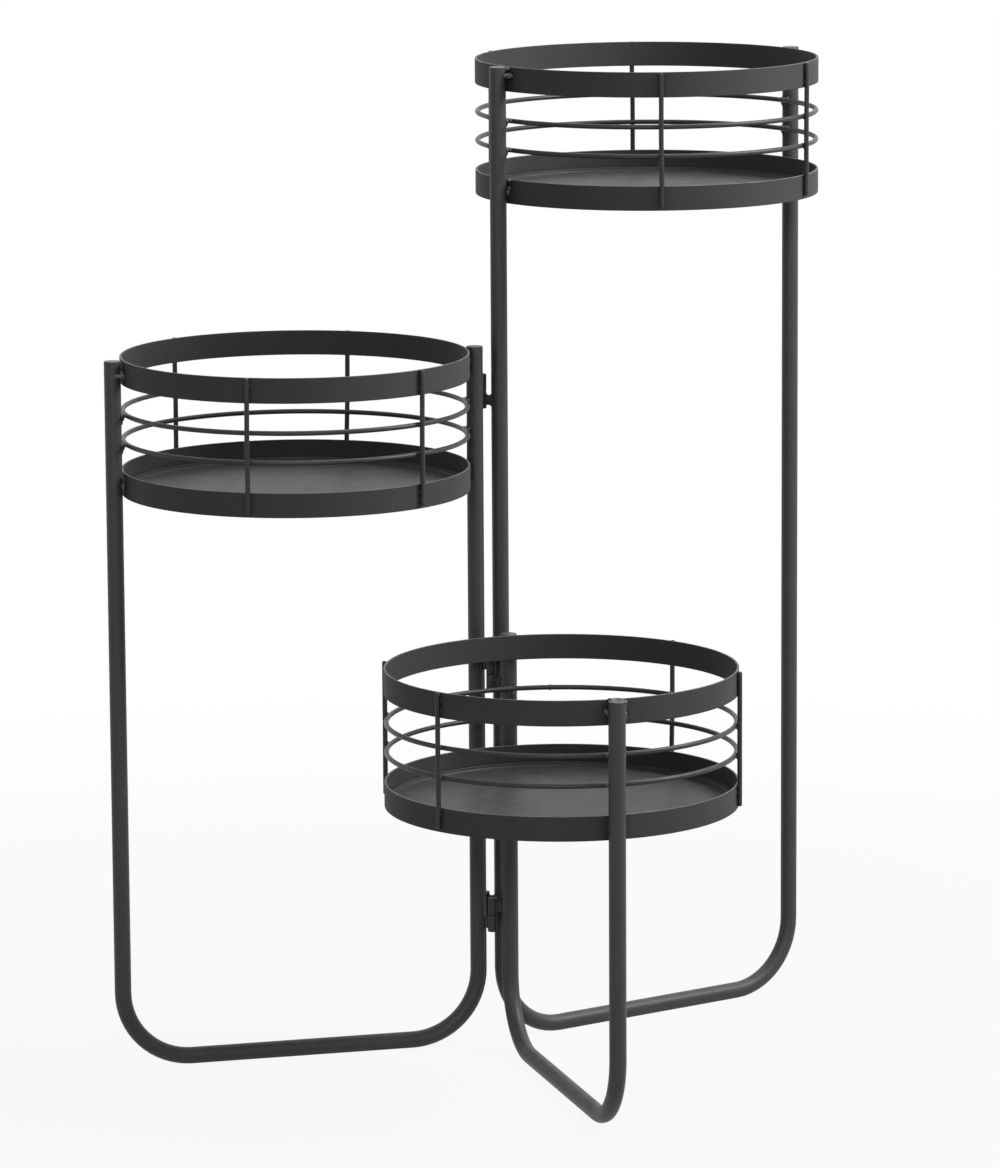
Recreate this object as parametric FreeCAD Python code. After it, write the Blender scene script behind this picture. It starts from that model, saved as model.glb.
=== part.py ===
import FreeCAD, Part
import math
import os

# Folding plant stand with three tiers, in millimetres.
# Each tier is one tube bent to a U, with a round wire basket held between the tops of
# its two legs. The middle tier's inner leg is the hinge post: the low tier swings in
# front of it and the tall tier behind it, each on two barrel hinges one above the other.
# +Z is up and X lies along the middle frame. The floor is at z = 0.

Vector = FreeCAD.Vector
UP = Vector(0, 0, 1)

# Heights of the tiers, from the floor to the leg tops and basket rims
LOW_TIER_HEIGHT = 308.0
MIDDLE_TIER_HEIGHT = 516.0
TALL_TIER_HEIGHT = 716.0

# How the stand is opened: the way each outer frame points, from the hinge post
LOW_FRAME_ANGLE = -88.5
TALL_FRAME_ANGLE = 20.5
MIDDLE_FRAME_ANGLE = 180.0

# Frame tube and its caps
TUBE_DIAMETER = 12.0
TUBE_WALL = 1.0
BEND_RADIUS = 50.0
CAP_THICKNESS = 1.2
CAP_PLUG_DEPTH = 5.0
CAP_PLUG_PLAY = 0.1
CAP_EDGE_ROUND = 0.5

# Basket: a flat-strip hoop, two wire rings and a tray, joined by upright wires
BASKET_RADIUS = 125.0
BASKET_HEIGHT = 98.5
STRIP_THICKNESS = 1.5
STRIP_EDGE_ROUND = 0.4
HOOP_HEIGHT = 18.0
TRAY_WALL_HEIGHT = 17.5
TRAY_FLOOR_THICKNESS = 1.2
TRAY_FLOOR_RECESS = 0.5
TRAY_FLOOR_PLAY = 0.1
WIRE_DIAMETER = 3.5
WIRE_END_ROUND = 1.0
WIRE_PLAY = 0.1
WIRE_RING_COUNT = 2
UPRIGHT_END_LIFT = 2.5

# Places round a basket where something upright holds it: the legs take two of them.
# Each basket is welded in by hand, so its uprights are turned a little from even places.
UPRIGHT_PLACES = 6
LOW_UPRIGHT_TURN = 2.8
MIDDLE_UPRIGHT_TURN = 0.9
TALL_UPRIGHT_TURN = -1.5

# How a basket is welded into its frame
LEG_TO_BASKET_GAP = 1.5
HOOP_WELD_DIAMETER = 5.5
RING_WELD_DIAMETER = 3.0

# Barrel hinges: two knuckles on one pin, each with a tab to its leg
KNUCKLE_DIAMETER = 7.0
KNUCKLE_HEIGHT = 12.4
KNUCKLE_SPLIT = 0.3
KNUCKLE_EDGE_ROUND = 0.4
PIN_DIAMETER = 3.5
PIN_RECESS = 0.3
PIN_HELD_PLAY = 0.03
PIN_TURNING_PLAY = 0.08
TAB_REACH = 4.1
TAB_THICKNESS = 3.0
TAB_HEIGHT = 7.0
HINGE_LEAN = 54.0
LOWER_HINGE_HEIGHT = 98.5
LOW_HINGE_DROP = 30.5
TALL_HINGE_DROP = 34.5

# How far each outer frame swings, as the ways it points at its two stops
FOLDED_ANGLE = 180.0
LOW_FRAME_OPEN_ANGLE = -60.0
TALL_FRAME_OPEN_ANGLE = 0.0

tube_radius = TUBE_DIAMETER / 2
tube_bore_radius = tube_radius - TUBE_WALL
wire_radius = WIRE_DIAMETER / 2
hoop_inner_radius = BASKET_RADIUS - STRIP_THICKNESS
ring_radius = BASKET_RADIUS - wire_radius
leg_spacing = 2 * (BASKET_RADIUS + LEG_TO_BASKET_GAP + tube_radius)
knuckle_radius = KNUCKLE_DIAMETER / 2
pin_radius = PIN_DIAMETER / 2
hinge_reach = tube_radius + TAB_REACH + knuckle_radius


def direction(angle):
    """A level unit vector that points the given number of degrees round from +X."""
    turn = math.radians(angle)
    return Vector(math.cos(turn), math.sin(turn), 0)


def round_edges(shape, radius):
    """Round every circular edge of a turned piece."""
    circles = [edge for edge in shape.Edges if isinstance(edge.Curve, Part.Circle)]
    return shape.makeFillet(radius, circles)


# A tier is built in its own frame: the hinge-side leg stands at the origin and the
# other leg stands along +X. place_tier then turns it and stands it in its place.


def frame_path(top):
    """Centre line of a frame tube: down one leg, along the floor and up the other."""
    run_height = tube_radius
    bend_start = run_height + BEND_RADIUS
    bend_middle = BEND_RADIUS * (1 - math.cos(math.radians(45)))
    far_bend = leg_spacing - BEND_RADIUS
    near_leg = Part.LineSegment(Vector(0, 0, top), Vector(0, 0, bend_start))
    near_arc = Part.Arc(
        Vector(0, 0, bend_start),
        Vector(bend_middle, 0, run_height + bend_middle),
        Vector(BEND_RADIUS, 0, run_height),
    )
    floor_run = Part.LineSegment(Vector(BEND_RADIUS, 0, run_height), Vector(far_bend, 0, run_height))
    far_arc = Part.Arc(
        Vector(far_bend, 0, run_height),
        Vector(leg_spacing - bend_middle, 0, run_height + bend_middle),
        Vector(leg_spacing, 0, bend_start),
    )
    far_leg = Part.LineSegment(Vector(leg_spacing, 0, bend_start), Vector(leg_spacing, 0, top))
    parts = [near_leg, near_arc, floor_run, far_arc, far_leg]
    return Part.Wire([part.toShape() for part in parts])


def frame_tube(tier_height):
    """One bent steel tube that makes both legs and the run along the floor."""
    top = tier_height - CAP_THICKNESS
    path = frame_path(top)
    start = Vector(0, 0, top)
    outside = path.makePipeShell([Part.Wire(Part.makeCircle(tube_radius, start, UP))], True, False)
    bore = path.makePipeShell([Part.Wire(Part.makeCircle(tube_bore_radius, start, UP))], True, False)
    return outside.cut(bore)


def leg_caps(tier_height):
    """Flat caps that plug the two open ends of the tube."""
    caps = []
    for leg_x in (0, leg_spacing):
        seat = Vector(leg_x, 0, tier_height - CAP_THICKNESS)
        disc = Part.makeCylinder(tube_radius, CAP_THICKNESS, seat)
        rim = [edge for edge in disc.Edges if edge.BoundBox.ZMin > seat.z]
        disc = disc.makeFillet(CAP_EDGE_ROUND, rim)
        plug_foot = seat - UP * CAP_PLUG_DEPTH
        plug = Part.makeCylinder(tube_bore_radius - CAP_PLUG_PLAY, CAP_PLUG_DEPTH, plug_foot)
        caps.append(disc.fuse(plug).removeSplitter())
    return Part.makeCompound(caps)


def strip_hoop(height, bottom):
    """A hoop rolled from flat strip, standing on edge round the basket's axis."""
    foot = Vector(leg_spacing / 2, 0, bottom)
    outside = Part.makeCylinder(BASKET_RADIUS, height, foot)
    inside = Part.makeCylinder(hoop_inner_radius, height, foot)
    return round_edges(outside.cut(inside), STRIP_EDGE_ROUND)


def top_hoop(tier_height):
    """The basket's rim."""
    return strip_hoop(HOOP_HEIGHT, tier_height - HOOP_HEIGHT)


def tray_wall(tier_height):
    """The low wall round the tray."""
    return strip_hoop(TRAY_WALL_HEIGHT, tier_height - BASKET_HEIGHT)


def tray_floor(tier_height):
    """The sheet disc that a pot stands on, set just inside the tray wall."""
    foot = Vector(leg_spacing / 2, 0, tier_height - BASKET_HEIGHT + TRAY_FLOOR_RECESS)
    return Part.makeCylinder(hoop_inner_radius - TRAY_FLOOR_PLAY, TRAY_FLOOR_THICKNESS, foot)


def ring_heights(tier_height):
    """Centre heights of the wire rings, evenly spaced between hoop and tray, top first."""
    open_top = tier_height - HOOP_HEIGHT
    open_bottom = tier_height - BASKET_HEIGHT + TRAY_WALL_HEIGHT
    pitch = (open_top - open_bottom) / (WIRE_RING_COUNT + 1)
    return [open_top - pitch * (place + 1) for place in range(WIRE_RING_COUNT)]


def wire_ring(height):
    """A closed ring of round wire whose outside lines up with the hoops."""
    return Part.makeTorus(ring_radius, wire_radius, Vector(leg_spacing / 2, 0, height), UP)


def upright_wires(tier_height, turn):
    """Wires welded to the outside of hoop, rings and tray, between the legs."""
    bottom = tier_height - BASKET_HEIGHT + UPRIGHT_END_LIFT
    length = tier_height - bottom
    centre = Vector(leg_spacing / 2, 0, bottom)
    stand_off = BASKET_RADIUS + WIRE_PLAY + wire_radius
    wires = []
    for place in range(UPRIGHT_PLACES):
        at_leg = place % (UPRIGHT_PLACES // 2) == 0
        if at_leg:
            continue
        foot = centre + direction(turn + place * 360 / UPRIGHT_PLACES) * stand_off
        wires.append(round_edges(Part.makeCylinder(wire_radius, length, foot), WIRE_END_ROUND))
    return Part.makeCompound(wires)


def basket_welds(tier_height):
    """Short beads that bridge the gap from hoop, rings and tray to both legs."""
    centre = Vector(leg_spacing / 2, 0, 0)
    basket_outside = Part.makeCylinder(BASKET_RADIUS, tier_height, centre)
    hoop_middle = tier_height - HOOP_HEIGHT / 2
    tray_middle = tier_height - BASKET_HEIGHT + TRAY_WALL_HEIGHT / 2
    beads = []
    for leg_x, inward in ((0, 1), (leg_spacing, -1)):
        leg = Part.makeCylinder(tube_radius, tier_height, Vector(leg_x, 0, 0))
        towards_basket = Vector(inward, 0, 0)
        for height in (hoop_middle, tray_middle):
            reach = tube_radius + LEG_TO_BASKET_GAP + STRIP_THICKNESS / 2
            start = Vector(leg_x, 0, height)
            bead = Part.makeCylinder(HOOP_WELD_DIAMETER / 2, reach, start, towards_basket)
            beads.append(bead.cut(basket_outside).cut(leg))
        for height in ring_heights(tier_height):
            reach = tube_radius + LEG_TO_BASKET_GAP + wire_radius
            start = Vector(leg_x, 0, height)
            bead = Part.makeCylinder(RING_WELD_DIAMETER / 2, reach, start, towards_basket)
            beads.append(bead.cut(wire_ring(height)).cut(leg))
    return Part.makeCompound(beads)


def tier_pieces(name, tier_height, upright_turn):
    """Every piece of one tier, by name, in the tier's own frame."""
    pieces = {
        name + "_frame_tube": frame_tube(tier_height),
        name + "_leg_caps": leg_caps(tier_height),
        name + "_top_hoop": top_hoop(tier_height),
        name + "_upright_wires": upright_wires(tier_height, upright_turn),
        name + "_tray_wall": tray_wall(tier_height),
        name + "_tray_floor": tray_floor(tier_height),
        name + "_basket_welds": basket_welds(tier_height),
    }
    for number, height in enumerate(ring_heights(tier_height), start=1):
        pieces[name + "_wire_ring_" + str(number)] = wire_ring(height)
    return pieces


def place_tier(pieces, post, angle):
    """Turn a tier about its hinge-side leg and stand that leg at its post."""
    for piece in pieces.values():
        piece.rotate(Vector(0, 0, 0), UP, angle)
        piece.translate(post)
    return pieces


# A hinge axis stands outboard of both its legs and to one side of both frames, so the
# two frames can lie in line and can also fold flat against each other.


def axis_from_leg(frame_angle, side):
    """The step from a frame's hinge-side leg to the hinge axis on the given side."""
    return direction(frame_angle + 180 - side * HINGE_LEAN) * hinge_reach


def knuckle(axis, bottom, leg, bore_radius):
    """One hinge barrel with the tab that is welded to its leg."""
    foot = axis + UP * bottom
    barrel = round_edges(Part.makeCylinder(knuckle_radius, KNUCKLE_HEIGHT, foot), KNUCKLE_EDGE_ROUND)
    to_leg = leg - axis
    tab_bottom = (KNUCKLE_HEIGHT - TAB_HEIGHT) / 2
    tab = Part.makeBox(to_leg.Length, TAB_THICKNESS, TAB_HEIGHT, Vector(0, -TAB_THICKNESS / 2, tab_bottom))
    tab.rotate(Vector(0, 0, 0), UP, math.degrees(math.atan2(to_leg.y, to_leg.x)))
    tab.translate(foot)
    leg_surface = Part.makeCylinder(tube_radius, KNUCKLE_HEIGHT, leg + UP * bottom)
    bore = Part.makeCylinder(bore_radius, KNUCKLE_HEIGHT, foot)
    return barrel.fuse(tab.cut(leg_surface)).cut(bore)


def hinge_pieces(name, axis, middle_height, swinging_leg, post_knuckle_on_top):
    """The two knuckles and the pin of one hinge between the hinge post and a frame."""
    upper_bottom = middle_height + KNUCKLE_SPLIT / 2
    lower_bottom = middle_height - KNUCKLE_SPLIT / 2 - KNUCKLE_HEIGHT
    post_bottom = upper_bottom if post_knuckle_on_top else lower_bottom
    swinging_bottom = lower_bottom if post_knuckle_on_top else upper_bottom
    pin_foot = axis + UP * (lower_bottom + PIN_RECESS)
    pin_length = 2 * KNUCKLE_HEIGHT + KNUCKLE_SPLIT - 2 * PIN_RECESS
    return {
        name + "_post_knuckle": knuckle(axis, post_bottom, hinge_post, pin_radius + PIN_HELD_PLAY),
        name + "_frame_knuckle": knuckle(
            axis, swinging_bottom, swinging_leg, pin_radius + PIN_TURNING_PLAY
        ),
        name + "_pin": Part.makeCylinder(pin_radius, pin_length, pin_foot),
    }


# The hinge post stands at the origin while the stand is put together.

hinge_post = Vector(0, 0, 0)
FRONT = 1
BACK = -1
low_axis = hinge_post + axis_from_leg(MIDDLE_FRAME_ANGLE, FRONT)
tall_axis = hinge_post + axis_from_leg(MIDDLE_FRAME_ANGLE, BACK)
low_post = low_axis - axis_from_leg(LOW_FRAME_ANGLE, BACK)
tall_post = tall_axis - axis_from_leg(TALL_FRAME_ANGLE, FRONT)

middle_tier = tier_pieces("middle", MIDDLE_TIER_HEIGHT, MIDDLE_UPRIGHT_TURN)
low_tier = tier_pieces("low", LOW_TIER_HEIGHT, LOW_UPRIGHT_TURN)
tall_tier = tier_pieces("tall", TALL_TIER_HEIGHT, TALL_UPRIGHT_TURN)
nodes = {}
nodes.update(place_tier(middle_tier, hinge_post, MIDDLE_FRAME_ANGLE))
nodes.update(place_tier(low_tier, low_post, LOW_FRAME_ANGLE))
nodes.update(place_tier(tall_tier, tall_post, TALL_FRAME_ANGLE))

# The upper hinges carry the post's knuckle on top and the lower ones the frame's, so
# neither outer frame can be lifted off.
low_hinge_height = LOW_TIER_HEIGHT - LOW_HINGE_DROP
tall_hinge_height = MIDDLE_TIER_HEIGHT - TALL_HINGE_DROP
nodes.update(hinge_pieces("low_upper_hinge", low_axis, low_hinge_height, low_post, True))
nodes.update(hinge_pieces("low_lower_hinge", low_axis, LOWER_HINGE_HEIGHT, low_post, False))
nodes.update(hinge_pieces("tall_upper_hinge", tall_axis, tall_hinge_height, tall_post, True))
nodes.update(hinge_pieces("tall_lower_hinge", tall_axis, LOWER_HINGE_HEIGHT, tall_post, False))

# The part's origin is on the floor, under the middle of the opened stand.
whole = Part.makeCompound(list(nodes.values())).optimalBoundingBox(False, False)
to_origin = Vector(-whole.Center.x, -whole.Center.y, 0)

os.makedirs("parts", exist_ok=True)
for node_name, shape in nodes.items():
    shape.translate(to_origin)
    shape.exportStep("parts/" + node_name + ".step")

print("overall size", round(whole.XLength, 3), round(whole.YLength, 3), round(whole.ZLength, 3))
for label, place in (
    ("hinge post", hinge_post),
    ("low axis", low_axis),
    ("tall axis", tall_axis),
    ("low frame leg", low_post),
    ("tall frame leg", tall_post),
):
    moved = place + to_origin
    print(label, round(moved.x, 4), round(moved.y, 4))
print("leg spacing", leg_spacing)
print("low fold", -FOLDED_ANGLE - LOW_FRAME_ANGLE, LOW_FRAME_OPEN_ANGLE - LOW_FRAME_ANGLE)
print("tall fold", TALL_FRAME_OPEN_ANGLE - TALL_FRAME_ANGLE, FOLDED_ANGLE - TALL_FRAME_ANGLE)
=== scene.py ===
import math
import random

import bmesh
import bpy
from mathutils import Matrix, Vector, noise


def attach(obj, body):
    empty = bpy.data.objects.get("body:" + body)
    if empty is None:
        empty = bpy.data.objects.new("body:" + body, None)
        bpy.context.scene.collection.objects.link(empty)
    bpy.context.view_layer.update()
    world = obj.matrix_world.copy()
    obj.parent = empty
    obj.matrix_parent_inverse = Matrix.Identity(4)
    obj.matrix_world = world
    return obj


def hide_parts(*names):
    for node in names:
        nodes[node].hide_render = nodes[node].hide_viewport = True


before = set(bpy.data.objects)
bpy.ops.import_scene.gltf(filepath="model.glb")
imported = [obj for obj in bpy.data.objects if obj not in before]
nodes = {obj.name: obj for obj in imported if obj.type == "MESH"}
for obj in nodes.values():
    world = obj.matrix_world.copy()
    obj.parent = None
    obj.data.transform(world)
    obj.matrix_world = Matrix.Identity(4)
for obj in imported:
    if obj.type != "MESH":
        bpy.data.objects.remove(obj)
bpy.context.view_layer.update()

# ---------------------------------------------------------------------------
# The charcoal powder coat.
# The whole stand is sprayed with one matt powder after welding. The coat has a fine orange-peel
# grain, faint lighter and warmer clouds, dust and a painted highlight where it faces up, and
# painted shade in corners.


def new_group(name, inputs, outputs):
    """A node group with the given inputs (name, type, default) and outputs (name, type)."""
    group = bpy.data.node_groups.new(name, "ShaderNodeTree")
    for label, kind, default in inputs:
        socket = group.interface.new_socket(label, in_out="INPUT", socket_type=kind)
        socket.default_value = default
    for label, kind in outputs:
        group.interface.new_socket(label, in_out="OUTPUT", socket_type=kind)
    return group, group.nodes.new("NodeGroupInput"), group.nodes.new("NodeGroupOutput")


def add_node(tree, kind, links=None, **settings):
    """A node with its settings made and its inputs linked by name or number."""
    node = tree.nodes.new(kind)
    for key, value in settings.items():
        setattr(node, key, value)
    for socket, source in (links or {}).items():
        if hasattr(source, "links"):
            tree.links.new(source, node.inputs[socket])
        else:
            node.inputs[socket].default_value = source
    return node


def product(tree, first, second):
    """One value times another."""
    node = add_node(tree, "ShaderNodeMath", {0: first, 1: second}, operation="MULTIPLY")
    return node.outputs[0]


def raised(tree, value, factor, base, **settings):
    """A value times a factor, on top of a base."""
    node = add_node(
        tree,
        "ShaderNodeMath",
        {0: value, 1: factor, 2: base},
        operation="MULTIPLY_ADD",
        **settings,
    )
    return node.outputs[0]


def ramp(tree, value, low, high, start=0.0, end=1.0, **settings):
    """A value carried from low and high to start and end, and held beyond them."""
    node = add_node(
        tree,
        "ShaderNodeMapRange",
        {"Value": value, "From Min": low, "From Max": high, "To Min": start, "To Max": end},
        **settings,
    )
    return node.outputs[0]


def grain(tree, scale, detail):
    """Noise that is fixed to the piece's own coordinates."""
    place = add_node(tree, "ShaderNodeTexCoord")
    node = add_node(
        tree,
        "ShaderNodeTexNoise",
        {"Vector": place.outputs["Object"], "Scale": scale, "Detail": detail},
    )
    return node.outputs["Fac"]


def grain_of_size(tree, size, detail):
    """The same noise by the size of its features in metres."""
    density = add_node(tree, "ShaderNodeMath", {0: 1.0, 1: size}, operation="DIVIDE")
    return grain(tree, density.outputs[0], detail)


def facing_up(tree, low, high):
    """How far a face looks up, by the height of its normal."""
    shape = add_node(tree, "ShaderNodeNewGeometry")
    facing = add_node(tree, "ShaderNodeSeparateXYZ", {0: shape.outputs["Normal"]})
    return ramp(tree, facing.outputs["Z"], low, high)


def laid_over(tree, share, under, over):
    """One colour laid over another by a share."""
    node = add_node(tree, "ShaderNodeMix", {"Factor": share, 6: under, 7: over}, data_type="RGBA")
    return node.outputs[2]


def peel_group():
    """Orange peel: shallow dimples of melted powder, with a finer grain on top."""
    group, given, result = new_group(
        "orange_peel",
        [("Peel Size", "NodeSocketFloat", 0.0011), ("Depth", "NodeSocketFloat", 0.00012)],
        [("Normal", "NodeSocketVector")],
    )
    bump = add_node(
        group,
        "ShaderNodeBump",
        {
            "Strength": 1.0,
            "Distance": given.outputs["Depth"],
            "Height": grain_of_size(group, given.outputs["Peel Size"], 3.0),
        },
    )
    group.links.new(bump.outputs["Normal"], result.inputs["Normal"])
    return group


def clouds_group():
    """Soft lighter and warmer patches where the powder lies thicker or thinner."""
    group, given, result = new_group(
        "powder_clouds",
        [
            ("Color", "NodeSocketColor", (0.06, 0.059, 0.06, 1)),
            ("Warm Color", "NodeSocketColor", (0.068, 0.062, 0.06, 1)),
            ("Cloud Size", "NodeSocketFloat", 0.03),
            ("Contrast", "NodeSocketFloat", 0.25),
        ],
        [("Color", "NodeSocketColor"), ("Roughness Shift", "NodeSocketFloat")],
    )
    cloud = grain_of_size(group, given.outputs["Cloud Size"], 4.0)
    warm = laid_over(group, cloud, given.outputs["Color"], given.outputs["Warm Color"])
    offset = add_node(group, "ShaderNodeMath", {0: cloud, 1: 0.5}, operation="SUBTRACT")
    swing = raised(group, offset.outputs[0], given.outputs["Contrast"], 1.0)
    shade = add_node(group, "ShaderNodeVectorMath", {0: warm, 1: swing}, operation="MULTIPLY")
    group.links.new(shade.outputs[0], result.inputs["Color"])
    group.links.new(offset.outputs[0], result.inputs["Roughness Shift"])
    return group


def dust_and_top_light_group():
    """Fine dust on faces that look up, whose lighter colour also stands in as a painted highlight
    there.
    """
    group, given, result = new_group(
        "dust_and_painted_top_light",
        [
            ("Color", "NodeSocketColor", (0.06, 0.06, 0.06, 1)),
            ("Dust And Top Light Color", "NodeSocketColor", (0.22, 0.21, 0.2, 1)),
            ("Amount", "NodeSocketFloat", 0.15),
        ],
        [("Color", "NodeSocketColor")],
    )
    up = facing_up(group, 0.35, 0.95)
    patchy = ramp(group, grain(group, 90.0, 8.0), 0.3, 0.75)
    amount = product(group, product(group, up, patchy), given.outputs["Amount"])
    # Dust, and a painted highlight: faces that look up are made lighter.
    dusted = laid_over(group, amount, given.outputs["Color"], given.outputs["Dust And Top Light Color"])
    group.links.new(dusted, result.inputs["Color"])
    return group


def rim_highlight_group():
    """Rims and ends that face up, rubbed smoother by pots and hands, and painted lighter as a
    highlight.
    """
    group, given, result = new_group(
        "rub_and_painted_highlight",
        [
            ("Color", "NodeSocketColor", (0.06, 0.06, 0.06, 1)),
            ("Painted Highlight Color", "NodeSocketColor", (0.2, 0.197, 0.194, 1)),
            ("Amount", "NodeSocketFloat", 0.0),
        ],
        [("Color", "NodeSocketColor"), ("Rub", "NodeSocketFloat")],
    )
    up = facing_up(group, 0.25, 0.8)
    patchy = ramp(group, grain(group, 70.0, 3.0), 0.3, 0.6, 0.35)
    amount = product(group, product(group, up, patchy), given.outputs["Amount"])
    # Painted highlight: the upward rims are made lighter; the same mask also lowers the roughness.
    lighter = laid_over(group, amount, given.outputs["Color"], given.outputs["Painted Highlight Color"])
    group.links.new(lighter, result.inputs["Color"])
    group.links.new(amount, result.inputs["Rub"])
    return group


def painted_shade_group():
    """Painted shade in narrow corners and gaps between parts, darker where ambient occlusion finds
    them shut in.
    """
    group, given, result = new_group(
        "painted_corner_shade",
        [
            ("Color", "NodeSocketColor", (0.06, 0.06, 0.06, 1)),
            ("Painted Shade Color", "NodeSocketColor", (0.008, 0.008, 0.008, 1)),
            ("Reach", "NodeSocketFloat", 0.0035),
            ("Depth", "NodeSocketFloat", 0.75),
        ],
        [("Color", "NodeSocketColor"), ("Shade", "NodeSocketFloat")],
    )
    # Painted shade: the colour darkens wherever nearby surfaces close a point in.
    nearby = add_node(
        group, "ShaderNodeAmbientOcclusion", {"Distance": given.outputs["Reach"]}, samples=8
    )
    shut = ramp(group, nearby.outputs["AO"], 0.15, 0.9, 1.0, 0.0)
    amount = product(group, shut, given.outputs["Depth"])
    darker = laid_over(group, amount, given.outputs["Color"], given.outputs["Painted Shade Color"])
    group.links.new(darker, result.inputs["Color"])
    group.links.new(amount, result.inputs["Shade"])
    return group


orange_peel = peel_group()
powder_clouds = clouds_group()
dust_and_painted_top_light = dust_and_top_light_group()
rub_and_painted_highlight = rim_highlight_group()
painted_corner_shade = painted_shade_group()

# How much clouds, rubbing and corners change the roughness of a coat.
CLOUD_ROUGHNESS = 0.12
RUB_ROUGHNESS = -0.3
CORNER_ROUGHNESS = 0.35


def add_group(tree, group, settings):
    """A group in a material, with its inputs set or linked."""
    return add_node(tree, "ShaderNodeGroup", settings, node_tree=group)


def powder_coat(
    name,
    color,
    warm,
    sheen,
    roughness,
    peel_size,
    peel_depth,
    cloud_size,
    dust_and_top_light,
    rub_and_highlight=0.0,
    reach=0.0035,
):
    """The coat on one kind of piece, with its own grain, clouds, dust, rubbing, painted highlights
    and painted corner shade.
    """
    coat = bpy.data.materials.new(name)
    coat.use_nodes = True
    tree = coat.node_tree
    shader = tree.nodes["Principled BSDF"]
    peel = add_group(tree, orange_peel, {"Peel Size": peel_size, "Depth": peel_depth})
    clouds = add_group(
        tree,
        powder_clouds,
        {"Color": (*color, 1), "Warm Color": (*warm, 1), "Cloud Size": cloud_size},
    )
    # Dust, whose lighter colour also stands in as a painted highlight on faces that look up.
    dusted_and_lit = add_group(tree, dust_and_painted_top_light, {"Color": clouds.outputs["Color"], "Amount": dust_and_top_light})
    # A painted highlight on upward rims, with a smoother roughness there.
    rubbed_and_highlighted = add_group(tree, rub_and_painted_highlight, {"Color": dusted_and_lit.outputs["Color"], "Amount": rub_and_highlight})
    # Painted shade darkens narrow corners and gaps between parts.
    shaded_corners = add_group(tree, painted_corner_shade, {"Color": rubbed_and_highlighted.outputs["Color"], "Reach": reach})
    mottled = raised(tree, clouds.outputs["Roughness Shift"], CLOUD_ROUGHNESS, roughness)
    smoothed = raised(tree, rubbed_and_highlighted.outputs["Rub"], RUB_ROUGHNESS, mottled)
    matt = raised(tree, shaded_corners.outputs["Shade"], CORNER_ROUGHNESS, smoothed, use_clamp=True)
    tree.links.new(shaded_corners.outputs["Color"], shader.inputs["Base Color"])
    tree.links.new(matt, shader.inputs["Roughness"])
    tree.links.new(peel.outputs["Normal"], shader.inputs["Normal"])
    shader.inputs["Specular IOR Level"].default_value = sheen
    return coat


# ---------------------------------------------------------------------------
# Frame tubes.
# Three lengths of 12 mm steel tube, each bent to a U with two legs and a run on the floor.
# The solid is smooth drawn tube, so it keeps its shape and only takes its coat.

tube_coat = powder_coat(
    "tube_coat",
    (0.043, 0.0425, 0.043),
    (0.05, 0.047, 0.046),
    sheen=0.33,
    roughness=0.48,
    peel_size=0.0011,
    peel_depth=0.00012,
    cloud_size=0.03,
    dust_and_top_light=0.3,
)


def dress(word, coat):
    """Gives a coat to every solid whose name holds the word."""
    for node_name, node in nodes.items():
        if word in node_name:
            for slot in node.material_slots:
                slot.material = coat


dress("frame_tube", tube_coat)

# ---------------------------------------------------------------------------
# Leg caps.
# Flat steel plugs close the six open ends of the tubes and lie flush with them. With more dust,
# a painted highlight and finer clouds they look a little lighter and more mottled than the legs.

cap_coat = powder_coat(
    "cap_coat",
    (0.043, 0.0425, 0.043),
    (0.05, 0.047, 0.046),
    sheen=0.33,
    roughness=0.48,
    peel_size=0.0011,
    peel_depth=0.00014,
    cloud_size=0.006,
    dust_and_top_light=0.5,
    rub_and_highlight=0.35,
)
dress("leg_caps", cap_coat)

# ---------------------------------------------------------------------------
# Hoops and tray walls.
# Flat strip, 18 by 1.5 mm, rolled to a ring and butt welded. Its upper edge is rubbed smoother
# and takes a painted highlight, and painted shade reaches far into its corners.

strip_coat = powder_coat(
    "strip_coat",
    (0.045, 0.0445, 0.045),
    (0.052, 0.048, 0.047),
    sheen=0.2,
    roughness=0.66,
    peel_size=0.0011,
    peel_depth=0.00012,
    cloud_size=0.03,
    dust_and_top_light=0.6,
    rub_and_highlight=0.8,
    # How far the painted corner shade reaches.
    reach=0.008,
)
dress("top_hoop", strip_coat)
dress("tray_wall", strip_coat)

# ---------------------------------------------------------------------------
# Wire rings.
# Drawn 3.5 mm wire, bent to two rings for each basket. The uprights are the same wire and
# take the same coat, which lies thinner and glossier on it than on the strips.

wire_coat = powder_coat(
    "wire_coat",
    (0.031, 0.0305, 0.031),
    (0.036, 0.034, 0.033),
    sheen=0.26,
    roughness=0.38,
    peel_size=0.0009,
    peel_depth=0.00008,
    cloud_size=0.02,
    dust_and_top_light=0.3,
)
dress("wire_ring", wire_coat)

# ---------------------------------------------------------------------------
# The three tiers.
# Each has the foot of its hinge-side leg, the way its frame points from it, and the height
# of its rim and leg tops. A tier's pieces are modelled with that leg at the origin and the
# other one along +X, and are then turned and stood in their place.

LEG_SPACING = 0.265
TUBE_RADIUS = 0.006
BASKET_RADIUS = 0.125
BASKET_HEIGHT = 0.0985
WIRE_RADIUS = 0.00175
SHARP_DEGREES = 55
TOUCHING = 0.000001
ON_CIRCLE = 0.000005
tiers = {
    "low": {"post": (0.0179256, 0.0380176), "angle": -88.5, "height": 0.308},
    "middle": {"post": (-0.0012764, 0.0567234), "angle": 180.0, "height": 0.516},
    "tall": {"post": (0.0180583, 0.0602197), "angle": 20.5, "height": 0.716},
}


def at_leg(tier):
    """The step that stands a tier's own frame in its place on the stand."""
    x, y = tier["post"]
    return Matrix.Translation((x, y, 0)) @ Matrix.Rotation(math.radians(tier["angle"]), 4, "Z")


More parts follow.
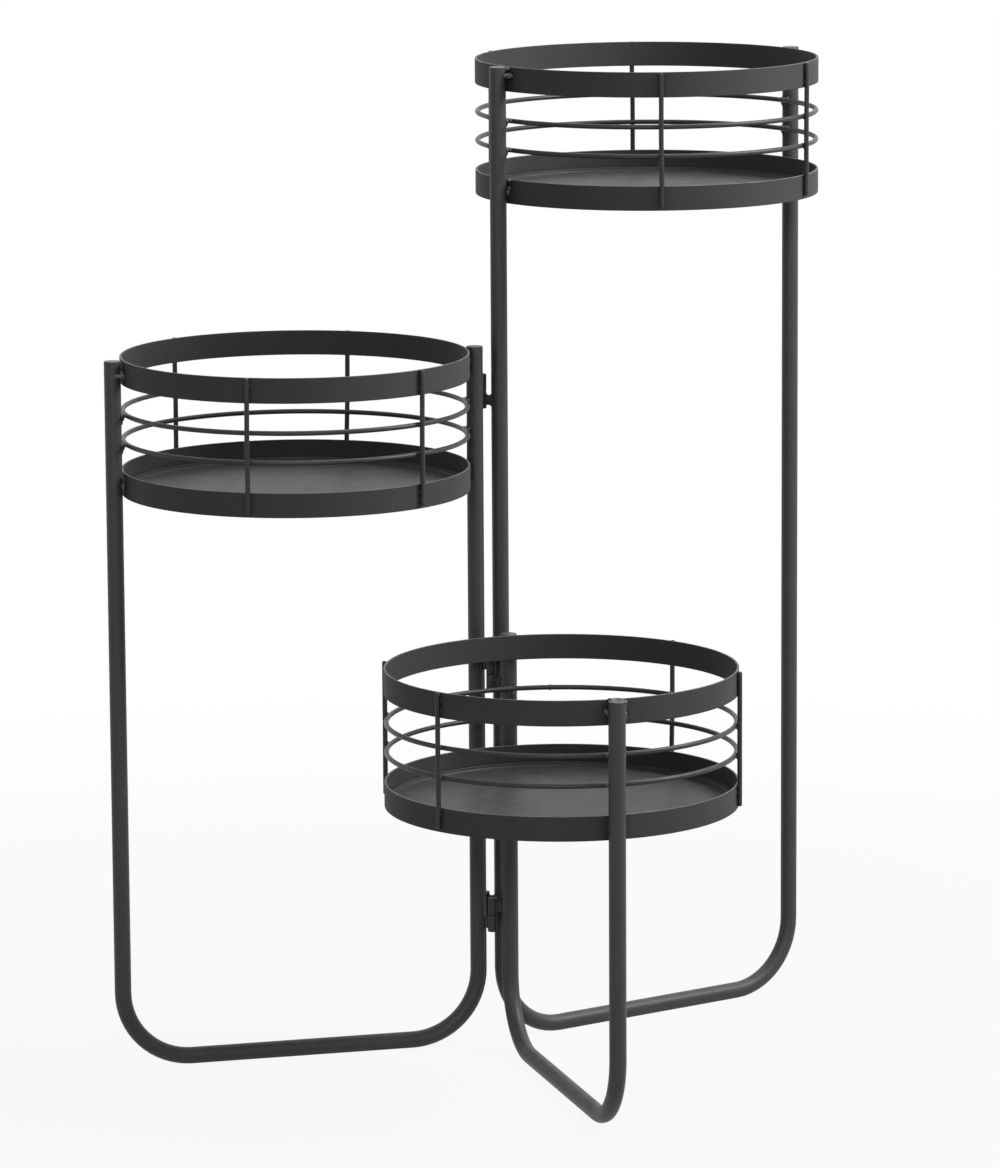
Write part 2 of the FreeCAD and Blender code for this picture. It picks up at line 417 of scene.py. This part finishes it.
def at_basket(tier):
    """The same step for pieces modelled round the basket's axis."""
    return at_leg(tier) @ Matrix.Translation((LEG_SPACING / 2, 0, 0))


def finish_piece(bm, name, place, body, coat, replaced):
    """The modelled shape as a piece in its place, which rides on its body."""
    bmesh.ops.transform(bm, matrix=place, verts=bm.verts)
    bmesh.ops.recalc_face_normals(bm, faces=bm.faces)
    for face in bm.faces:
        face.smooth = True
    mesh = bpy.data.meshes.new(name)
    bm.to_mesh(mesh)
    bm.free()
    mesh.set_sharp_from_angle(angle=math.radians(SHARP_DEGREES))
    mesh.materials.append(coat)
    piece = bpy.data.objects.new(name, mesh)
    bpy.context.scene.collection.objects.link(piece)
    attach(piece, body)
    if replaced:
        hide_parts(replaced)


def add_shape(whole, part):
    """Adds a modelled shape to another one."""
    loose = bpy.data.meshes.new("part")
    part.to_mesh(loose)
    part.free()
    whole.from_mesh(loose)
    bpy.data.meshes.remove(loose)


def turned(outline, steps, closed):
    """A shape turned about Z from an outline of (radius, height) points."""
    bm = bmesh.new()
    points = [bm.verts.new((radius, 0, height)) for radius, height in outline]
    ends = points[1:] + points[:1] if closed else points[1:]
    for start, end in zip(points, ends):
        bm.edges.new((start, end))
    bmesh.ops.spin(
        bm,
        geom=bm.verts[:] + bm.edges[:],
        cent=(0, 0, 0),
        axis=(0, 0, 1),
        angle=2 * math.pi,
        steps=steps,
        use_merge=True,
    )
    bmesh.ops.remove_doubles(bm, verts=bm.verts, dist=TOUCHING)
    bmesh.ops.recalc_face_normals(bm, faces=bm.faces)
    return bm


def round_over(bm, edges, radius, segments):
    """Rounds edges as a press or a tumbler leaves them."""
    bmesh.ops.bevel(
        bm,
        geom=edges,
        offset=radius,
        offset_type="OFFSET",
        affect="EDGES",
        segments=segments,
        profile=0.5,
        material=-1,
    )


def circle_at(bm, radius, height):
    """The edges of a turned shape that lie on one circle."""
    found = []
    for edge in bm.edges:
        corners = [(math.hypot(v.co.x, v.co.y) - radius, v.co.z - height) for v in edge.verts]
        if all(abs(out) < ON_CIRCLE and abs(up) < ON_CIRCLE for out, up in corners):
            found.append(edge)
    return found


# ---------------------------------------------------------------------------
# Tray pans.
# Each tray is a disc of 1.2 mm sheet pressed to a shallow pan, with a rounded corner and
# a low rim that fits inside the tray wall. Spot heat has left it very slightly wavy.

PAN_RADIUS = 0.1234
PAN_THICKNESS = 0.0012
PAN_RIM_HEIGHT = 0.0043
PAN_RECESS = 0.0005
PAN_CORNER = 0.0032
PAN_INNER_CORNER = 0.002
PAN_RIM_ROUND = 0.0004
SHEET_STEP = 0.01
SHEET_STEPS = 12
WAVE_DEPTH = 0.0003
WAVE_RADIUS = 0.115
WAVES_PER_METRE = 22
pan_inside = PAN_RADIUS - PAN_THICKNESS

floor_coat = powder_coat(
    "tray_floor_coat",
    (0.048, 0.0465, 0.047),
    (0.058, 0.052, 0.051),
    sheen=0.2,
    roughness=0.42,
    peel_size=0.0014,
    peel_depth=0.00015,
    cloud_size=0.05,
    dust_and_top_light=0.2,
)

for tier_name, tier in tiers.items():
    underside = tier["height"] - BASKET_HEIGHT + PAN_RECESS
    outline = [(SHEET_STEP * step, 0) for step in range(SHEET_STEPS)]
    outline += [(PAN_RADIUS, 0), (PAN_RADIUS, PAN_RIM_HEIGHT), (pan_inside, PAN_RIM_HEIGHT)]
    outline += [(pan_inside, PAN_THICKNESS)]
    outline += [(SHEET_STEP * step, PAN_THICKNESS) for step in reversed(range(SHEET_STEPS))]
    pan = turned(outline, steps=160, closed=False)
    round_over(pan, circle_at(pan, PAN_RADIUS, 0), PAN_CORNER, 6)
    round_over(pan, circle_at(pan, pan_inside, PAN_THICKNESS), PAN_INNER_CORNER, 5)
    for radius in (PAN_RADIUS, pan_inside):
        round_over(pan, circle_at(pan, radius, PAN_RIM_HEIGHT), PAN_RIM_ROUND, 2)
    for vert in pan.verts:
        inward = max(0, 1 - math.hypot(vert.co.x, vert.co.y) / WAVE_RADIUS)
        # Each tray takes its waves from another height of the noise.
        wave = noise.noise(vert.co * WAVES_PER_METRE + Vector((0, 0, tier["height"] * 40)))
        vert.co.z += WAVE_DEPTH * wave * min(1, inward * 4)
    finish_piece(
        pan,
        tier_name + "_tray_pan",
        at_basket(tier) @ Matrix.Translation((0, 0, underside)),
        tier_name + "_frame",
        floor_coat,
        tier_name + "_tray_floor",
    )

# ---------------------------------------------------------------------------
# Upright wires.
# Four lengths of 3.5 mm wire stand outside each basket. They are cut, tumbled and spot
# welded by hand, so each leans a little: its angle is given at the tray and at the rim.

UPRIGHT_LIFT = 0.0025
UPRIGHT_LENGTH = BASKET_HEIGHT - UPRIGHT_LIFT
UPRIGHT_GAP = 0.0001
UPRIGHT_STAND_OFF = BASKET_RADIUS + UPRIGHT_GAP + WIRE_RADIUS
UPRIGHT_BOW = 0.00012
UPRIGHT_END_ROUND = 0.001
upright_places = {
    "low": ((63.0, 63.0), (124.6, 124.1), (243.0, 243.0), (301.3, 301.1)),
    "middle": ((61.9, 61.9), (121.7, 121.9), (240.2, 239.4), (300.8, 300.9)),
    "tall": ((58.1, 58.5), (118.5, 118.3), (238.4, 238.1), (298.4, 298.7)),
}


def hung_point(along, out, side, at_tray, at_rim, top):
    """A point of an upright: its share of the length, and its steps out and aside."""
    angle = math.radians(at_tray + (at_rim - at_tray) * along)
    bow = UPRIGHT_BOW * math.sin(along * math.pi * 3)
    radius = UPRIGHT_STAND_OFF + out
    x = radius * math.cos(angle) - (side + bow) * math.sin(angle)
    y = radius * math.sin(angle) + (side + bow) * math.cos(angle)
    return Vector((x, y, top - (1 - along) * UPRIGHT_LENGTH))


def climb(edge):
    """How far an edge goes up or down."""
    return abs(edge.verts[0].co.z - edge.verts[1].co.z)


for tier_name, tier in tiers.items():
    uprights = bmesh.new()
    for at_tray, at_rim in upright_places[tier_name]:
        wire = bmesh.new()
        bmesh.ops.create_cone(
            wire,
            cap_ends=True,
            segments=24,
            radius1=WIRE_RADIUS,
            radius2=WIRE_RADIUS,
            depth=UPRIGHT_LENGTH,
        )
        round_over(wire, [e for e in wire.edges if climb(e) < TOUCHING], UPRIGHT_END_ROUND, 4)
        sides = [e for e in wire.edges if climb(e) > UPRIGHT_LENGTH / 2]
        bmesh.ops.subdivide_edges(wire, edges=sides, cuts=30, use_grid_fill=True)
        for vert in wire.verts:
            along = vert.co.z / UPRIGHT_LENGTH + 0.5
            vert.co = hung_point(along, vert.co.x, vert.co.y, at_tray, at_rim, tier["height"])
        add_shape(uprights, wire)
    finish_piece(
        uprights,
        tier_name + "_uprights",
        at_basket(tier),
        tier_name + "_frame",
        wire_coat,
        tier_name + "_upright_wires",
    )

# ---------------------------------------------------------------------------
# Weld metal.
# Every weld is a heap of small melted lumps under the powder. Lumps are set down where
# the torch stopped, joined to one skin, softened, and given the ripple of cooled metal.

SOFTENINGS = 3
RIPPLE_DEPTH = 0.00014
COARSE_RIPPLES = 900
FINE_RIPPLES = 2300

weld_coat = powder_coat(
    "weld_coat",
    (0.044, 0.0435, 0.044),
    (0.05, 0.047, 0.046),
    sheen=0.5,
    roughness=0.32,
    peel_size=0.0007,
    peel_depth=0.0001,
    cloud_size=0.006,
    dust_and_top_light=0.3,
    # Painted shade reaches further round the welds.
    reach=0.006,
)


def lump(bm, x, y, z, radii, turn=0.0):
    """One melted lump, with its radii along X, Y and Z before it is turned about Z."""
    place = Matrix.Translation((x, y, z)) @ Matrix.Rotation(turn, 4, "Z")
    bmesh.ops.create_icosphere(
        bm, subdivisions=2, radius=1.0, matrix=place @ Matrix.Diagonal((*radii, 1))
    )


def melt(bm, grain):
    """Joins the lumps to one skin of the given grain, softens it and ripples it."""
    loose = bpy.data.meshes.new("lumps")
    bm.to_mesh(loose)
    heap = bpy.data.objects.new("lumps", loose)
    bpy.context.scene.collection.objects.link(heap)
    skin = heap.modifiers.new("skin", "REMESH")
    skin.mode = "VOXEL"
    skin.voxel_size = grain
    bpy.context.view_layer.update()
    joined = bpy.data.meshes.new_from_object(
        heap.evaluated_get(bpy.context.evaluated_depsgraph_get())
    )
    bm.clear()
    bm.from_mesh(joined)
    bpy.data.objects.remove(heap)
    bpy.data.meshes.remove(loose)
    bpy.data.meshes.remove(joined)
    for _ in range(SOFTENINGS):
        bmesh.ops.smooth_vert(
            bm, verts=bm.verts, factor=0.5, use_axis_x=True, use_axis_y=True, use_axis_z=True
        )
    bm.normal_update()
    for vert in bm.verts:
        coarse = noise.noise(vert.co * COARSE_RIPPLES)
        ripple = coarse + 0.5 * noise.noise(vert.co * FINE_RIPPLES)
        vert.co += vert.normal * RIPPLE_DEPTH * ripple


# ---------------------------------------------------------------------------
# Basket welds.
# Hoop, tray and rings are welded to both legs. On the strips the metal bridges the gap
# at half height and runs out into both valleys; on the rings it also creeps down the leg.

RIM_BEAD_DROP = 0.009
TRAY_BEAD_DROP = 0.08975
RING_DROPS = (0.039, 0.06)
STRIP_GAP = 0.0015
BEAD_BITE = 0.00055
BEAD_SIDES = (-0.0041, -0.0021, 0.0, 0.002, 0.0042)
TACKS = 6
TACK_START = 24
TACK_RADIUS = 0.1222
BASKET_WELD_GRAIN = 0.00032
chance = random.Random(11)


def strip_bead(bm, leg_x, inward, height, sides):
    """Weld metal between a leg and a strip that passes 1.5 mm from it."""
    for side in sides:
        leg_face = math.sqrt(TUBE_RADIUS**2 - side**2)
        strip_face = TUBE_RADIUS + STRIP_GAP + side**2 / (2 * BASKET_RADIUS)
        middle = (leg_face + strip_face) / 2
        thick = (strip_face - leg_face) / 2 + BEAD_BITE
        lump(
            bm,
            leg_x + inward * middle,
            side + chance.uniform(-0.0003, 0.0003),
            height + chance.uniform(-0.0006, 0.0006),
            (thick, 0.0017, chance.uniform(0.0024, 0.0033)),
        )


def ring_bead(bm, leg_x, inward, height):
    """Weld metal round a wire ring where it passes a leg, with a web down the leg."""
    # The middle, and then a wing to each side along the wire and round the leg.
    lump(bm, leg_x + inward * 0.0068, 0, height, (0.0016, 0.0022, 0.0021))
    for side in (-1, 1):
        spread = chance.uniform(0.8, 1.2)
        lump(bm, leg_x + inward * 0.0064, side * 0.0022, height, (0.0018, 0.0018, 0.002))
        lump(bm, leg_x + inward * 0.0076, side * 0.0041, height, (0.0014, 0.0027 * spread, 0.0016))
        lump(bm, leg_x + inward * 0.0053, side * 0.0033, height, (0.0013, 0.0014, 0.0022 * spread))
    lump(bm, leg_x + inward * 0.0066, 0, height - 0.0023, (0.0016, 0.0025, 0.0022))
    lump(bm, leg_x + inward * 0.0061, 0, height - 0.0046, (0.0009, 0.0021, 0.0028))


def front_leg_run(bm, top):
    """The low basket's front leg: a second run over its top and down its right side."""
    # The run over the top ends in two larger lumps, with spatter on the cap.
    for side in (-0.0034, -0.0016, 0.0004, 0.0024, 0.0043):
        rise = chance.uniform(0.0, 0.0008)
        lump(bm, LEG_SPACING - 0.0062, side, top - 0.0006 + rise, (0.0019, 0.0016, 0.0014))
    lump(bm, LEG_SPACING - 0.0044, -0.0021, top + 0.0002, (0.0022, 0.0021, 0.0012))
    lump(bm, LEG_SPACING - 0.0041, 0.0033, top - 0.0001, (0.0018, 0.0015, 0.001))
    spatter = ((0.0024, -0.0034), (0.0021, 0.0006), (0.0028, 0.0038), (-0.0002, 0.0026))
    for step, side in spatter:
        lump(bm, LEG_SPACING - step, side, top - 0.0002, (0.002, 0.0019, 0.0008))
    for drop in (0.0009, 0.0028, 0.0047, 0.0068, 0.009, 0.0111, 0.0129):
        thick = chance.uniform(0.0012, 0.002)
        step = chance.uniform(0.0002, 0.0014)
        lump(bm, LEG_SPACING - step, 0.0059, top - drop, (0.0021, thick, 0.0015))
        lump(bm, LEG_SPACING - 0.0037, 0.0055, top - drop, (0.002, 0.0013, 0.0016))
        lump(bm, LEG_SPACING - 0.006, 0.005, top - drop, (0.0022, 0.0016, 0.0016))
    # One drop has run into the left valley.
    lump(bm, LEG_SPACING - 0.0064, -0.0058, top - 0.0082, (0.0019, 0.0021, 0.0022))


def outer_leg_bead(bm, top):
    """The middle basket's outer leg: a wide bead low on the rim's near side."""
    for step, side, thick in (
        (0.001, 0.0057, 0.0007),
        (0.0028, 0.0055, 0.001),
        (0.0043, 0.0055, 0.0013),
        (0.0053, 0.0056, 0.0014),
        (0.0063, 0.0058, 0.0013),
        (0.0072, 0.0062, 0.001),
        (0.0062, 0.0042, 0.0016),
    ):
        lump(bm, LEG_SPACING - step, side, top - 0.0104, (0.0017, thick, 0.0019))


def hinge_leg_tacks(bm, top):
    """The tall basket's hinge-side leg: tacks at the top, under it and at the tray's lip."""
    for side in (-0.0041, -0.0022, -0.0003, 0.0018, 0.0036):
        lump(bm, 0.006, side, top - 0.0017, (0.0018, 0.0016, 0.0015))
    lump(bm, 0.0045, 0.0002, top - 0.0011, (0.0018, 0.0041, 0.001))
    for along, side, high in (
        (0.0018, -0.0059, 0.0014),
        (0.0034, -0.0062, 0.0019),
        (0.0049, -0.0066, 0.0023),
        (0.0062, -0.0072, 0.0022),
        (0.0071, -0.0082, 0.0016),
        (0.0058, -0.0046, 0.0021),
    ):
        lump(bm, along, side, top - 0.0063, (0.0016, 0.0014, high))
    lump(bm, 0.0064, -0.0045, top - 0.0818, (0.0016, 0.0017, 0.001))
    lump(bm, 0.0064, -0.0051, top - 0.087, (0.0023, 0.0019, 0.0017))


own_beads = {"low": front_leg_run, "middle": outer_leg_bead, "tall": hinge_leg_tacks}

for tier_name, tier in tiers.items():
    top = tier["height"]
    welds = bmesh.new()
    for leg_x, inward in ((0, 1), (LEG_SPACING, -1)):
        # On the tall basket's hinge-side leg the round bead takes the near half's place.
        half = tier_name == "tall" and inward == 1
        rim_sides = BEAD_SIDES[2:] if half else BEAD_SIDES
        strip_bead(welds, leg_x, inward, top - RIM_BEAD_DROP, rim_sides)
        strip_bead(welds, leg_x, inward, top - TRAY_BEAD_DROP, BEAD_SIDES)
        for drop in RING_DROPS:
            ring_bead(welds, leg_x, inward, top - drop)
    own_beads[tier_name](welds, top)
    # Six tacks under the tray hold the pan in its wall.
    for tack in range(TACKS):
        angle = math.radians(TACK_START + tack * 360 / TACKS)
        lump(
            welds,
            LEG_SPACING / 2 + TACK_RADIUS * math.cos(angle),
            TACK_RADIUS * math.sin(angle),
            top - BASKET_HEIGHT + PAN_RECESS,
            (0.0015, 0.0042, 0.0009),
            angle,
        )
    melt(welds, BASKET_WELD_GRAIN)
    finish_piece(
        welds,
        tier_name + "_weld_metal",
        at_leg(tier),
        tier_name + "_frame",
        weld_coat,
        tier_name + "_basket_welds",
    )

# ---------------------------------------------------------------------------
# Spot welds and joints.
# Uprights are spot welded wherever they cross a strip or a ring, which leaves a small
# collar of melted metal. Each ring is closed by one butt joint near the hinge-side leg.

SPOT_DROPS = (0.0052, 0.0134, 0.0862, 0.0925)
SPOT_SIDES = (-0.0011, 0.0011)
STRIP_SPOT_OUT = -0.0018
RING_SPOT_OUT = -0.0019
RING_JOINT_RADIUS = BASKET_RADIUS - WIRE_RADIUS
RING_JOINT_ANGLE = math.radians(167)
SPOT_GRAIN = 0.00026

for tier_name, tier in tiers.items():
    top = tier["height"]
    spots = bmesh.new()
    for at_tray, at_rim in upright_places[tier_name]:
        for drop in SPOT_DROPS:
            for side in SPOT_SIDES:
                along = 1 - drop / UPRIGHT_LENGTH
                at = hung_point(along, STRIP_SPOT_OUT, side, at_tray, at_rim, top)
                turn = math.atan2(at.y, at.x)
                tall = chance.uniform(0.0012, 0.0019)
                lump(spots, *at, (0.0007, 0.0011, tall), turn)
        for drop in RING_DROPS:
            along = 1 - drop / UPRIGHT_LENGTH
            at = hung_point(along, RING_SPOT_OUT, 0, at_tray, at_rim, top)
            turn = math.atan2(at.y, at.x)
            lump(spots, *at, (0.0011, 0.0024, 0.0011), turn)
            lump(spots, *at, (0.0011, 0.0011, 0.0025), turn)
    for drop in RING_DROPS:
        lump(
            spots,
            RING_JOINT_RADIUS * math.cos(RING_JOINT_ANGLE),
            RING_JOINT_RADIUS * math.sin(RING_JOINT_ANGLE),
            top - drop,
            (0.0022, 0.0018, 0.0022),
            RING_JOINT_ANGLE,
        )
    melt(spots, SPOT_GRAIN)
    finish_piece(
        spots,
        tier_name + "_spot_welds",
        at_basket(tier),
        tier_name + "_frame",
        wire_coat,
        None,
    )

# ---------------------------------------------------------------------------
# Hinges.
# Four weld-on barrel hinges. Each half is a turned barrel on a stub of flat bar, run
# round with weld where the stub meets the barrel and the leg. The pin is headless.

BARREL_RADIUS = 0.0035
BARREL_HEIGHT = 0.0124
BARREL_SPLIT = 0.0003
PIN_RADIUS = 0.00175
PIN_RECESS = 0.0003
STUB_THICKNESS = 0.003
STUB_HEIGHT = 0.007
STUB_IN_BARREL = 0.0006
STUB_IN_LEG = 0.0004
STUB_ROUND = 0.0004
BARREL_CHAMFER = 0.00045
BORE_CHAMFER = 0.0002
POST_PLAY = 0.00003
FRAME_PLAY = 0.00008
PIN_LENGTH = 2 * BARREL_HEIGHT + BARREL_SPLIT - 2 * PIN_RECESS
PIN_DISH_RADIUS = 0.0006
PIN_DISH_DEPTH = 0.00015
PIN_CHAMFER = 0.0003
HINGE_WELD_GRAIN = 0.00025

hinge_coat = powder_coat(
    "hinge_coat",
    (0.04, 0.039, 0.04),
    (0.046, 0.043, 0.042),
    sheen=0.3,
    roughness=0.48,
    peel_size=0.0009,
    peel_depth=0.0001,
    cloud_size=0.01,
    dust_and_top_light=0.3,
    # Painted shade reaches further into the hinge gaps.
    reach=0.006,
)
low_axis = Vector((0.0067175, 0.0457208, 0))
tall_axis = Vector((0.0067175, 0.067726, 0))
hinges = {
    "low_upper_hinge": (low_axis, 0.2775, "low", True),
    "low_lower_hinge": (low_axis, 0.0985, "low", False),
    "tall_upper_hinge": (tall_axis, 0.4815, "tall", True),
    "tall_lower_hinge": (tall_axis, 0.0985, "tall", False),
}


def hinge_half(name, axis, bottom, leg, bore, body, replaced):
    """A barrel with its stub and the weld that holds both."""
    barrel = turned(
        [(bore, 0), (BARREL_RADIUS, 0), (BARREL_RADIUS, BARREL_HEIGHT), (bore, BARREL_HEIGHT)],
        steps=48,
        closed=True,
    )
    for height in (0, BARREL_HEIGHT):
        round_over(barrel, circle_at(barrel, BARREL_RADIUS, height), BARREL_CHAMFER, 3)
        round_over(barrel, circle_at(barrel, bore, height), BORE_CHAMFER, 2)
    reach = (leg - axis).length - TUBE_RADIUS
    middle = BARREL_HEIGHT / 2
    stub = bmesh.new()
    start = BARREL_RADIUS - STUB_IN_BARREL
    stub_length = reach + STUB_IN_LEG - start
    bmesh.ops.create_cube(
        stub,
        size=1.0,
        matrix=Matrix.Translation((start + stub_length / 2, 0, middle))
        @ Matrix.Diagonal((stub_length, STUB_THICKNESS, STUB_HEIGHT, 1)),
    )
    round_over(stub, stub.edges[:], STUB_ROUND, 2)
    beads = bmesh.new()
    for side in (-1, 1):
        for step in (-0.0026, -0.0009, 0.001, 0.0027):
            rise = middle + step + chance.uniform(-0.0003, 0.0003)
            tall = chance.uniform(0.0011, 0.0016)
            lump(beads, reach - 0.0001, side * 0.0019, rise, (0.0011, 0.001, tall))
            lump(beads, BARREL_RADIUS + 0.0002, side * 0.0016, rise, (0.0008, 0.0007, tall))
        lump(beads, reach - 0.0002, 0, middle + side * 0.0037, (0.0011, 0.0018, 0.0009))
    melt(beads, HINGE_WELD_GRAIN)
    whole = bmesh.new()
    for part in (barrel, stub, beads):
        add_shape(whole, part)
    towards = math.atan2(leg.y - axis.y, leg.x - axis.x)
    place = Matrix.Translation((axis.x, axis.y, bottom)) @ Matrix.Rotation(towards, 4, "Z")
    finish_piece(whole, name, place, body, hinge_coat, replaced)


for hinge_name, (axis, height, outer, post_on_top) in hinges.items():
    upper = height + BARREL_SPLIT / 2
    lower = height - BARREL_SPLIT / 2 - BARREL_HEIGHT
    post_leg = Vector((*tiers["middle"]["post"], 0))
    outer_leg = Vector((*tiers[outer]["post"], 0))
    hinge_half(
        hinge_name + "_post_barrel",
        axis,
        upper if post_on_top else lower,
        post_leg,
        PIN_RADIUS + POST_PLAY,
        "middle_frame",
        hinge_name + "_post_knuckle",
    )
    hinge_half(
        hinge_name + "_frame_barrel",
        axis,
        lower if post_on_top else upper,
        outer_leg,
        PIN_RADIUS + FRAME_PLAY,
        outer + "_frame",
        hinge_name + "_frame_knuckle",
    )
    pin = turned(
        [(0, PIN_DISH_DEPTH), (PIN_DISH_RADIUS, 0), (PIN_RADIUS, 0), (PIN_RADIUS, PIN_LENGTH)]
        + [(PIN_DISH_RADIUS, PIN_LENGTH), (0, PIN_LENGTH - PIN_DISH_DEPTH)],
        steps=32,
        closed=False,
    )
    for end in (0, PIN_LENGTH):
        round_over(pin, circle_at(pin, PIN_RADIUS, end), PIN_CHAMFER, 2)
    finish_piece(
        pin,
        hinge_name + "_turned_pin",
        Matrix.Translation((axis.x, axis.y, lower + PIN_RECESS)),
        "middle_frame",
        hinge_coat,
        hinge_name + "_pin",
    )

# ---------------------------------------------------------------------------
# Stage: floor, surround, lamps and camera.
# A pale floor fades into a white surround wherever the camera or a reflection sees it.
# Three soft boxes light the stand, most of all from the upper right.

FLOOR_SIZE = 30.0
FLOOR_COLOR = (0.4, 0.4, 0.4, 1)
WHITE = (1, 1, 1, 1)
HAZE_START = 0.35
HAZE_END = 1.6
HAZE_AT_STAND = 0.92
SURROUND_FILL = 0.08
LAMP_TARGET = Vector((0.0, 0.0, 0.4))


def seen_directly(tree):
    """One for rays from the camera, from reflections and through glass, and else zero."""
    path = add_node(tree, "ShaderNodeLightPath")
    seen = path.outputs["Is Camera Ray"]
    for ray in ("Is Glossy Ray", "Is Transmission Ray"):
        either = add_node(
            tree, "ShaderNodeMath", {0: seen, 1: path.outputs[ray]}, operation="MAXIMUM"
        )
        seen = either.outputs[0]
    return seen


floor_mesh = bpy.data.meshes.new("floor")
bm = bmesh.new()
bmesh.ops.create_grid(bm, x_segments=1, y_segments=1, size=FLOOR_SIZE / 2)
bm.to_mesh(floor_mesh)
bm.free()
floor = bpy.data.objects.new("floor", floor_mesh)
bpy.context.scene.collection.objects.link(floor)

floor_paint = bpy.data.materials.new("pale_floor")
floor_paint.use_nodes = True
tree = floor_paint.node_tree
matt_white = add_node(tree, "ShaderNodeBsdfDiffuse", {"Color": FLOOR_COLOR})
white = add_node(tree, "ShaderNodeEmission", {"Color": WHITE, "Strength": 1.0})
place = add_node(tree, "ShaderNodeTexCoord")
away = add_node(tree, "ShaderNodeVectorMath", {0: place.outputs["Object"]}, operation="LENGTH")
haze = ramp(
    tree,
    away.outputs["Value"],
    HAZE_START,
    HAZE_END,
    HAZE_AT_STAND,
    interpolation_type="SMOOTHSTEP",
)
whitening = product(tree, seen_directly(tree), haze)
blend = add_node(
    tree,
    "ShaderNodeMixShader",
    {0: whitening, 1: matt_white.outputs[0], 2: white.outputs[0]},
)
tree.links.new(blend.outputs[0], tree.nodes["Material Output"].inputs["Surface"])
floor.data.materials.append(floor_paint)

world = bpy.data.worlds.new("studio")
bpy.context.scene.world = world
world.use_nodes = True
tree = world.node_tree
level = ramp(tree, seen_directly(tree), 0.0, 1.0, SURROUND_FILL)
background = tree.nodes["Background"]
background.inputs["Color"].default_value = WHITE
tree.links.new(level, background.inputs["Strength"])


def soft_lamp(name, place, width, height, power):
    """A soft box that faces the middle of the stand."""
    lamp = bpy.data.lights.new(name, "AREA")
    lamp.shape = "RECTANGLE"
    lamp.size = width
    lamp.size_y = height
    lamp.energy = power
    holder = bpy.data.objects.new(name, lamp)
    bpy.context.scene.collection.objects.link(holder)
    holder.location = place
    holder.rotation_euler = (LAMP_TARGET - Vector(place)).to_track_quat("-Z", "Y").to_euler()


soft_lamp("right_soft_box", (1.4, -0.5, 1.55), 0.8, 0.8, 37)
soft_lamp("top_soft_box", (0.5, 0.3, 2.1), 1.3, 1.3, 12)
soft_lamp("front_soft_box", (-1.1, -3.2, 1.5), 1.4, 0.5, 30)

CAMERA_PLACE = (-1.07211, -4.13017, 1.11111)
CAMERA_YAW = 14.577
CAMERA_PITCH = 10.091
CAMERA_ROLL = -0.351
CAMERA_LENS = 186.77
camera_data = bpy.data.cameras.new("camera")
camera_data.lens = CAMERA_LENS
camera_data.clip_end = 60
camera = bpy.data.objects.new("camera", camera_data)
bpy.context.scene.collection.objects.link(camera)
camera.matrix_world = (
    Matrix.Translation(CAMERA_PLACE)
    @ Matrix.Rotation(math.radians(-CAMERA_YAW), 4, "Z")
    @ Matrix.Rotation(math.radians(90 - CAMERA_PITCH), 4, "X")
    @ Matrix.Rotation(math.radians(CAMERA_ROLL), 4, "Z")
)
bpy.context.scene.camera = camera
bpy.context.scene.view_settings.view_transform = "Standard"
